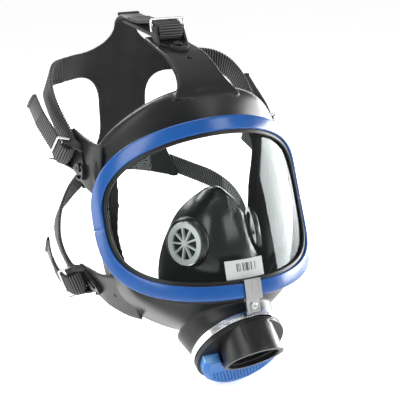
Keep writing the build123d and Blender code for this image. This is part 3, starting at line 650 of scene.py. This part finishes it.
def face_blank():
    rings = []
    for station in STATIONS:
        angle = station[3]
        bulge, rear, lip = (body_ring(angle, ring) for ring in (BULGE, REAR_EDGE, SEAL_LIP))
        outer = bent([station_point(station, 7.6, BODY_BACK), bulge, rear], 8)
        inwards = (lip - rear).normalized()
        inner_bulge = bulge + (Vector((0, bulge.y, 0)) - bulge).normalized() * RUBBER
        inner_rear = rear + inwards * RUBBER + Vector((0, -RUBBER, 0))
        inner = bent([station_point(station, 6.2, BODY_BACK + RUBBER), inner_bulge, inner_rear], 8)
        turn = [rear + inwards * 1.0 + Vector((0, 1.2, 0)), lip, lip + Vector((0, -1.8, 0))]
        start = [station_point(station, a, d)
                 for a, d in ((-1.0, BODY_BACK + RUBBER), (-1.0, 10.2), (1.4, 10.2), (1.6, BODY_BACK))]
        rings.append(outer + turn + inner[::-1] + start)
    shell = skin("body_shell", rings, [RUBBER_SKIN], closed=True)
    body = joined("face_blank_piece", [shell, collar(), *tab_bands()])
    add_modifier(body, "REMESH", mode="VOXEL", voxel_size=1.0 * MM, use_smooth_shade=True)
    add_modifier(body, "SMOOTH", factor=0.6, iterations=7)
    cutters = []
    for centre, out, radius in (((0, -12.2, 109.4), (0, -0.55, 0.83), 2.2),
                                ((-68, 2, -72), (-0.84, -0.15, -0.5), 1.6),
                                ((68, 2, -72), (0.84, -0.15, -0.5), 1.6)):
        axes = Matrix.Translation(centre) @ Vector(out).to_track_quat("Z", "Y").to_matrix().to_4x4()
        rings = [[axes @ Vector((radius * math.cos(a), radius * math.sin(a), h))
                  for a in (2 * math.pi * i / 24 for i in range(24))] for h in (-7, 7)]
        cutters.append(skin("cutter", rings, [RUBBER_SKIN]))
        add_modifier(body, "BOOLEAN", operation="DIFFERENCE", object=cutters[-1], solver="EXACT")
    apply_modifiers(body)
    for cutter in cutters:
        bpy.data.objects.remove(cutter)
    body.data.materials.clear()
    body.data.materials.append(RUBBER_SKIN)
    place(body, "facepiece", "rubber_black", "face_blank")

    section = fillet([(-8.6, 2.1), (3.6, 2.1), (3.6, 9), (1.6, 9), (1.6, 13), (-1.2, 13), (-1.2, 9), (-5.5, 9),
                      (-5.5, 7.5), (2.6, 7.2), (2.6, 4.0), (-8.6, 4.1)],
                     [0.9, 0.3, 0.2, 0.2, 0.2, 0.2, 0.3, 0.5, 0.5, 0.2, 0.2, 0.9])
    lip = skin("visor_lip", [[station_point(s, a, d) for a, d in section] for s in STATIONS], [RUBBER_SKIN],
               closed=True, sharp=60)
    place(lip, "facepiece", "rubber_black")


def beads():
    """Raised lines moulded into the facepiece's brow, a little way in front of its back edge."""
    for name, share, radius, low in (("brow_bead", 1.55, 0.9, -5), ("brow_flange", 1.95, 1.5, -20)):
        run = [s for s in STATIONS if math.degrees(math.asin(math.sin(s[3]))) > low]
        first = run.index(min(run, key=lambda s: (s[0].x < 0, s[0].z)))
        run = run[first:] + run[:first]
        points = [skin_line(s, share) for s in run]
        rings = []
        for i, point in enumerate(points):
            along = (points[min(i + 1, len(points) - 1)] - points[max(i - 1, 0)]).normalized()
            side = along.orthogonal().normalized() if not i else (side - along * side.dot(along)).normalized()
            other = along.cross(side)
            ends = min(i, len(points) - 1 - i) / 6
            size = radius * min(math.sqrt(ends + 0.02), 1.0)
            rings.append([point + side * size * math.cos(a) + other * size * math.sin(a)
                          for a in (2 * math.pi * k / 12 for k in range(12))])
        place(skin(name, rings, [RUBBER_SKIN], sharp=60), "facepiece", "rubber_black")


# ---- straps

def strap_piece(name, where, run, tail):
    """The ribbed strap: inner run, turn round the roller, free tail and its smooth pull tab."""
    axes = buckle_axes(where)
    across, up, out = (axes.col[i].xyz for i in range(3))
    reach = ROLLER_R + LOOP_GAP + STRAP_THICK
    turn = []
    for i in range(9):
        angle = math.radians(-90 - 180 * i / 8)
        outward = up * math.cos(angle) + out * math.sin(angle)
        turn.append((at(where, ROLLER_Y, ROLLER_Z) + outward * reach, STRAP_HALF, across, outward))
    first = (at(where, 27.0, ROLLER_Z - reach), STRAP_HALF, across, -out)
    last = (at(where, 24.0, ROLLER_Z + reach), STRAP_HALF, across, out)
    rows = path_rows(run + [first] + turn + [last] + tail)
    length = rows[-1][0]
    count = round(length / RIB_PITCH) * 6
    rings, left_over = [], []
    for k in range(count + 1):
        spot = length * k / count
        middle, half, side, outward = path_frame(rows, spot)
        to_end = length - spot
        ribbed = min(max((to_end - TAB_LENGTH) / 1.5, 0.0), 1.0) * min(spot / 2.0, 1.0)
        tooth = (0.0, 0.55, 1.0, 1.0, 0.55, 0.0)[k % 6] * ribbed
        outer = (tooth - 0.6) * RIB_HEIGHT
        inner = -STRAP_THICK + (0.5 - tooth * 0.6) * RIB_HEIGHT * 0.6
        half += (tooth - 0.7) * 0.5 * ribbed
        if to_end < 4.0:
            half = half - 4.0 + math.sqrt(max(16.0 - (4.0 - to_end) ** 2, 0.0))
        if 1.2 < to_end < 4.6:
            outer += 1.3 * math.sin(math.pi * (to_end - 1.2) / 3.4) ** 0.5
        section = fillet([(-half, outer), (half, outer), (half, inner), (-half, inner)], 0.7, 2)
        rings.append([middle + side * u + outward * w for u, w in section])
        left_over.append(to_end)
    piece = skin(name, rings, [STRAP_SKIN, TAB_SKIN, BLACK, RIB_PAINTED_HIGHLIGHT], sharp=48)
    size = len(rings[0])
    for polygon in piece.data.polygons:
        ring = min(polygon.vertices) // size
        if left_over[min(ring, count)] < 4.9:
            polygon.material_index = 2
        elif left_over[min(ring, count)] < TAB_LENGTH:
            polygon.material_index = 1
        # Faces on the rib crests take the lighter painted-highlight colour.
        elif ring % 6 in (1, 2, 3) and ring > 6:
            polygon.material_index = 3
    return piece


def straps():
    x, h = (1, 0, 0), STRAP_HALF
    run = [((0, 83.9, 135.8), h, x, (0, 0.15, -1)), ((0, 68, 132.8), h, x, (0, 0.2, -1)),
           ((0, 50, 129.2), h, x, (0, 0.2, -1))]
    tail = [((0, 40, 138.2), h, x, (0, 0.02, 1)), ((0, 58, 138.0), h, x, (0, -0.05, 1)),
            ((0, 76, 140.2), h, x, (0, -0.15, 1)), ((0, 95, 143.4), h, x, (0, -0.17, 1))]
    place(strap_piece("strap_forehead_piece", FOREHEAD, run, tail), "facepiece", "rubber_black", "strap_forehead")
    run = [((-59.8, 95.6, 99.2), h, (0.02, -0.05, 1), (0.52, -0.85, 0)),
           ((-74.5, 85.0, 97.0), h, (0.1, -0.3, 0.95), (0.77, -0.62, 0)),
           ((-83.3, 74.5, 90.5), h, (0.1, -0.6, 0.8), (0.94, -0.33, 0)),
           ((-86.8, 62.0, 79.0), h, (0, -0.72, 0.7), (1, 0, 0)),
           ((-86.4, 49.5, 65.0), h, (0, -0.75, 0.66), (1, 0, 0))]
    tail = [((-99.4, 44.0, 55.5), h, (0, -0.78, 0.62), (-1, 0, 0)),
            ((-100.4, 59.0, 66.5), h, (0, -0.82, 0.57), (-1, 0, 0)),
            ((-100.0, 76.0, 81.0), h, (0, -0.84, 0.54), (-1, 0, 0))]
    temple = strap_piece("strap_temple_left_piece", TEMPLE, run, tail)
    run = [((-42.5, 105.5, 7.2), h, (0.35, 0.0, 0.94), (0.31, -0.95, -0.06)),
           ((-51.0, 101.5, 2.9), h, (0.35, 0.0, 0.94), (0.42, -0.9, -0.08)),
           ((-60.2, 95.4, -2.0), h, (0.35, 0.0, 0.94), (0.55, -0.83, -0.1)),
           ((-73.0, 84.5, -10.0), h, (0.3, -0.3, 0.9), (0.75, -0.65, -0.1)),
           ((-81.5, 75.5, -21.5), h, (0.05, -0.6, 0.8), (0.93, -0.3, -0.1)),
           ((-84.5, 68.5, -35.0), h, (-0.2, -0.7, 0.7), (0.95, -0.05, 0.2)),
           ((-83.0, 62.0, -48.5), h, (-0.35, -0.5, 0.8), (0.9, 0.02, 0.4))]
    tail = [((-94.6, 56.5, -60.5), h, (-0.38, -0.45, 0.8), (-0.9, 0.05, -0.4)),
            ((-96.6, 64.0, -49.0), h, (-0.3, -0.65, 0.7), (-0.95, 0, -0.3)),
            ((-97.2, 69.5, -36.0), h, (-0.15, -0.75, 0.65), (-0.98, 0, -0.15))]
    jaw = strap_piece("strap_jaw_left_piece", JAW, run, tail)
    for left, kind in ((temple, "strap_temple"), (jaw, "strap_jaw")):
        right = mirrored(left, kind + "_right_piece")
        place(left, "facepiece", "rubber_black", kind + "_left")
        place(right, "facepiece", "rubber_black", kind + "_right")


# ---- harness plate

# Middle line of the plate from the forehead strap down: (y, z, half width)
SPINE = [(84.2, 138.2, 10), (91.5, 139.2, 10), (97.5, 135.5, 10), (100.2, 128.0, 10.6), (102.2, 119.5, 15),
         (105.0, 112.0, 20), (109.0, 102.0, 22), (112.2, 89.0, 22.6), (114.0, 70.0, 22.2), (114.8, 45.0, 21.8),
         (114.6, 30.0, 22), (113.5, 12.0, 22.5)]


def spine_rows():
    rows = []
    for y, z, half in SPINE:
        where = rows[-1][0] + math.hypot(y - rows[-1][1], z - rows[-1][2]) if rows else 0.0
        rows.append((where, y, z, half))
    return rows


SPINE_ROWS = spine_rows()
# Each pair of arms: (x, z of its middle), (x, how far it curves forwards), half width at the spine
ARMS = [([(0, 101.0), (38, 101.0), (62.3, 99.0)], [(0, 0), (14, 0), (38, 3.0), (62.3, 12.9)], 11.0),
        ([(0, 22.0), (14, 18.5), (38, 9.5), (44, 6.6)], [(0, 0), (14, 0.3), (38, 4.3), (44, 6.9)], 11.0)]


def smooth_least(a, b, reach):
    h = max(reach - abs(a - b), 0.0) / reach
    return min(a, b) - h * h * reach / 4


def plate_distance(x, where):
    """How far outside the plate's outline a point is: across it, and along its spine."""
    x = abs(x)
    _, z, half = smooth_row(SPINE_ROWS, min(max(where, 0.0), SPINE_ROWS[-1][0]))
    beyond = max(-where, where - SPINE_ROWS[-1][0])
    if where > SPINE_ROWS[-1][0]:
        z -= where - SPINE_ROWS[-1][0]
    result = max(x - half, beyond)
    for line, _, width in ARMS:
        tip = line[-1][0]
        middle = smooth_row(line, min(x, tip))[0]
        slope = (smooth_row(line, min(x + 1, tip))[0] - smooth_row(line, max(min(x, tip) - 1, 0))[0]) / 2
        arm = max(abs(z - middle) / math.hypot(1, slope) - (width - x * 0.016), x - tip - slope * (z - middle))
        result = smooth_least(result, arm, 22.0)
    return result


def plate_point(x, where):
    length = SPINE_ROWS[-1][0]
    y, z, _ = smooth_row(SPINE_ROWS, min(max(where, 0.0), length))
    if where > length:
        z -= where - length
        y -= (where - length) * 0.09
    share = min(max((60 - z) / 50, 0.0), 1.0)
    drops = [smooth_row(arm[1], min(abs(x), arm[1][-1][0] + 3))[0] for arm in ARMS]
    return Vector((x, y - drops[0] * (1 - share) - drops[1] * share, z))


def harness_plate():
    pitch, thick = 1.5, 2.2
    columns, last = range(-43, 44), SPINE_ROWS[-1][0] + 26
    rows = range(0, int(last / pitch) + 1)
    distance = {(i, j): plate_distance(i * pitch, j * pitch) for i in columns for j in rows}
    kept = []
    for i in columns:
        for j in rows:
            corners = [(i, j), (i + 1, j), (i + 1, j + 1), (i, j + 1)]
            if all(c in distance for c in corners) and sum(distance[c] for c in corners) < 0:
                kept.append(corners)
    use = {}
    for corners in kept:
        for c in corners:
            use[c] = use.get(c, 0) + 1
    places = {}
    for (i, j), shared in use.items():
        x, where = i * pitch, j * pitch
        if shared < 4 and j > 0:
            for _ in range(3):
                far = plate_distance(x, where)
                dx = (plate_distance(x + 0.2, where) - plate_distance(x - 0.2, where)) / 0.4
                dy = (plate_distance(x, where + 0.2) - plate_distance(x, where - 0.2)) / 0.4
                size = max(dx * dx + dy * dy, 0.2)
                x, where = x - far * dx / size, where - far * dy / size
        places[i, j] = plate_point(x, max(where, 0.0))
    order = {key: n for n, key in enumerate(places)}
    faces = [tuple(order[c] for c in corners) for corners in kept]
    sheet = mesh_object("harness_plate_piece", list(places.values()), faces, [STRAP_SKIN])
    add_modifier(sheet, "SMOOTH", factor=0.3, iterations=2)
    add_modifier(sheet, "SOLIDIFY", thickness=thick * MM, offset=0.0)
    add_modifier(sheet, "BEVEL", width=0.7 * MM, segments=3, limit_method="ANGLE",
                 angle_limit=math.radians(50))
    apply_modifiers(sheet)
    place(sheet, "facepiece", "rubber_black", "harness_plate")


# ---- inner mask

# Levels of the cup from its top: (z, half width, y of its front, y of its open back)
CUP = [(12.6, 2.4, -44, -39.5), (11.6, 5.4, -46.5, -38), (9, 9, -49, -36), (2, 17, -56, -30),
       (-8, 25, -62.5, -25), (-20, 31, -67.5, -22), (-34, 36, -71, -19), (-50, 39, -72, -17),
       (-64, 39, -69.5, -17), (-75, 36, -65, -19), (-83, 31, -58.5, -22)]
CUP_POWER, CUP_WALL = 2.5, 1.8
NOSE_VALVE, NOSE_VALVE_OUT, NOSE_VALVE_R = Vector((-30.5, -49.0, -27.0)), Vector((-0.93, -0.35, 0.08)), 16.9


def inner_mask():
    levels = [(-z, half, front, rear) for z, half, front, rear in CUP]
    steps, rings = 64, []
    for k in range(70):
        where = levels[0][0] + (levels[-1][0] - levels[0][0]) * k / 69
        half, front, rear = smooth_row(levels, where)
        outer, inner = [], []
        for i in range(steps + 1):
            angle = math.pi * i / steps
            across = signed_power(math.cos(angle), 2 / CUP_POWER)
            ahead = max(math.sin(angle), 0.0) ** (2 / CUP_POWER)
            outer.append(Vector((half * across, rear + (front - rear) * ahead, -where)))
            inner_y = rear + (front + CUP_WALL - rear) * ahead
            inner.append(Vector(((half - CUP_WALL) * across, inner_y, -where)))
        rings.append(outer + inner[::-1])
    cup = skin("inner_mask_piece", rings, [CUP_SKIN])
    cutters, bosses = [], []
    for side in (1, -1):
        out = Vector((NOSE_VALVE_OUT.x * side, NOSE_VALVE_OUT.y, NOSE_VALVE_OUT.z)).normalized()
        x = Vector((0, 0.08, 0.35)).cross(out).normalized()
        centre = Vector((NOSE_VALVE.x * side, NOSE_VALVE.y, NOSE_VALVE.z))
        axes = Matrix.Translation(centre) @ Matrix((x, out.cross(x), out)).transposed().to_4x4()
        rings = [[axes @ Vector((NOSE_VALVE_R * math.cos(a), NOSE_VALVE_R * math.sin(a), h))
                  for a in (2 * math.pi * i / 72 for i in range(72))] for h in (-14, 8)]
        cutter = skin("cutter", rings, [CUP_SKIN])
        add_modifier(cup, "BOOLEAN", operation="DIFFERENCE", object=cutter, solver="EXACT")
        cutters.append(cutter)
        profile = fillet([(16.95, -2.6), (16.95, 1.5), (18.2, 1.9), (20.6, -1.0), (20.6, -2.6)],
                         [0.3, 0.5, 0.9, 0.9, 0.3])
        bosses.append(lathe("valve_boss_" + ("left" if side > 0 else "right"), axes, profile, [CUP_SKIN]))
    apply_modifiers(cup)
    for boss in bosses:
        place(boss, "facepiece", "rubber_black")
    for cutter in cutters:
        bpy.data.objects.remove(cutter)
    cup.data.set_sharp_from_angle(angle=math.radians(35))
    place(cup, "facepiece", "rubber_black", "inner_mask")


# ---- port

def thread():
    """The inlet's rounded thread, a helix on the bore's wall."""
    turns, per_turn = (THREAD_LENGTH - 2.0) / THREAD_PITCH, 72
    rings = []
    for i in range(int(turns * per_turn) + 1):
        angle = 2 * math.pi * i / per_turn
        depth = -1.2 - THREAD_PITCH * i / per_turn
        radial = Vector((math.cos(angle), math.sin(angle), 0))
        centre = radial * (THREAD_R + 0.35) + Vector((0, 0, depth))
        rings.append([INLET @ (centre + radial * math.cos(t) + Vector((0, 0, math.sin(t))))
                      for t in (2 * math.pi * k / 10 for k in range(10))])
    piece = skin("inlet_thread", rings, [BLACK])
    place(piece, "facepiece", "plastic_black")


visor()
frame_halves()
face_blank()
beads()
straps()
harness_plate()
inner_mask()
thread()
rounded("centre_bracket", CLIP_STEEL, "steel", 0.5)
rounded("bracket_screw", STEEL, "steel", 0.25)
rounded("rating_label", LABEL, "label_white", 0.08)
rounded("band_clamp", STEEL, "steel", 0.25)
rounded("connector_housing", BLACK, "plastic_black", 0.45)
rounded("inlet_gasket", SILICONE, "silicone", 0.3)
rounded("inlet_valve_seat", GREY, "plastic_grey", 0.3)
rounded("inlet_valve_disc", SILICONE, "silicone", 0.2)
rounded("exhalation_valve_seat", GREY, "plastic_grey", 0.3)
rounded("exhalation_valve_disc", SILICONE, "silicone", 0.2)
rounded("exhalation_cover", COVER, "cover_blue", 0.16)
for side in ("left", "right"):
    rounded("inner_valve_seat_" + side, GREY, "plastic_grey", 0.35)
    rounded("inner_valve_disc_" + side, CUP_SKIN, "silicone", 0.2)
for spot in ("forehead", "temple_left", "temple_right", "jaw_left", "jaw_right"):
    rounded("buckle_base_" + spot, BLACK, "plastic_black", 0.45)
    rounded("buckle_roller_" + spot, BLACK, "plastic_black", 0.3)
    rounded("buckle_wire_" + spot, STEEL, "steel", 0.05, sharp=60)
rounded("buckle_studs", BLACK, "plastic_black", 0.4)


# ---- floor, light and camera

def floor():
    height, far = cad_box[0][2] / MM, 40000
    rings = [[Vector((x, y, z)) for x, y in ((-far, -far), (far, -far), (far, far), (-far, far))]
             for z in (height - 20, height)]
    material = finish("pale_floor", (0.93, 0.93, 0.93), (0.96, 0.96, 0.96), 3, (0.6, 0.8), 0.02, 40,
                      Emission_Color=(1, 1, 1, 1), Emission_Strength=0.5)
    skin("floor", rings, [material])


def softbox(name, where, size, power):
    light = bpy.data.lights.new(name, "AREA")
    light.shape = "RECTANGLE"
    light.size, light.size_y = size
    light.energy = power
    lamp = bpy.data.objects.new(name, light)
    lamp.location = where
    lamp.rotation_euler = (Vector((0, 0, 0)) - Vector(where)).to_track_quat("-Z", "Y").to_euler()
    bpy.context.scene.collection.objects.link(lamp)


def world():
    surroundings = bpy.data.worlds.new("studio")
    surroundings.use_nodes = True
    back = surroundings.node_tree.nodes["Background"]
    back.inputs["Color"].default_value = (1, 1, 1, 1)
    back.inputs["Strength"].default_value = 0.5
    bpy.context.scene.world = surroundings


def camera():
    right, up = Vector((0.87619, -0.47973, -0.04629)), Vector((0.12915, 0.14119, 0.98152))
    back, distance = Vector((-0.46433, -0.86598, 0.18567)), 1.034
    data = bpy.data.cameras.new("camera")
    data.lens, data.sensor_width = 116.2, 36
    data.shift_x, data.shift_y = 0.02875, -0.01375
    data.clip_start, data.clip_end = 0.05, 200
    view = bpy.data.objects.new("camera", data)
    view.matrix_world = Matrix.Translation(back * distance) @ Matrix((right, up, back)).transposed().to_4x4()
    bpy.context.scene.collection.objects.link(view)
    bpy.context.scene.camera = view


floor()
world()
softbox("left_box", (-1.5, -0.9, 0.9), (0.9, 1.4), 20)
softbox("right_box", (1.5, 0.05, -0.08), (1.3, 0.8), 52)
softbox("front_box", (0.9, -1.6, 0.9), (0.8, 0.8), 8)
softbox("top_box", (0.0, 0.2, 1.7), (1.4, 1.4), 14)
softbox("back_box", (-0.1, 1.7, 1.3), (1.6, 0.7), 34)
softbox("right_rear_box", (1.6, 1.3, 0.25), (1.2, 1.0), 18)
softbox("left_rear_box", (-1.8, 0.9, 0.3), (1.0, 1.0), 14)
camera()
bpy.context.scene.view_settings.view_transform = "Standard"
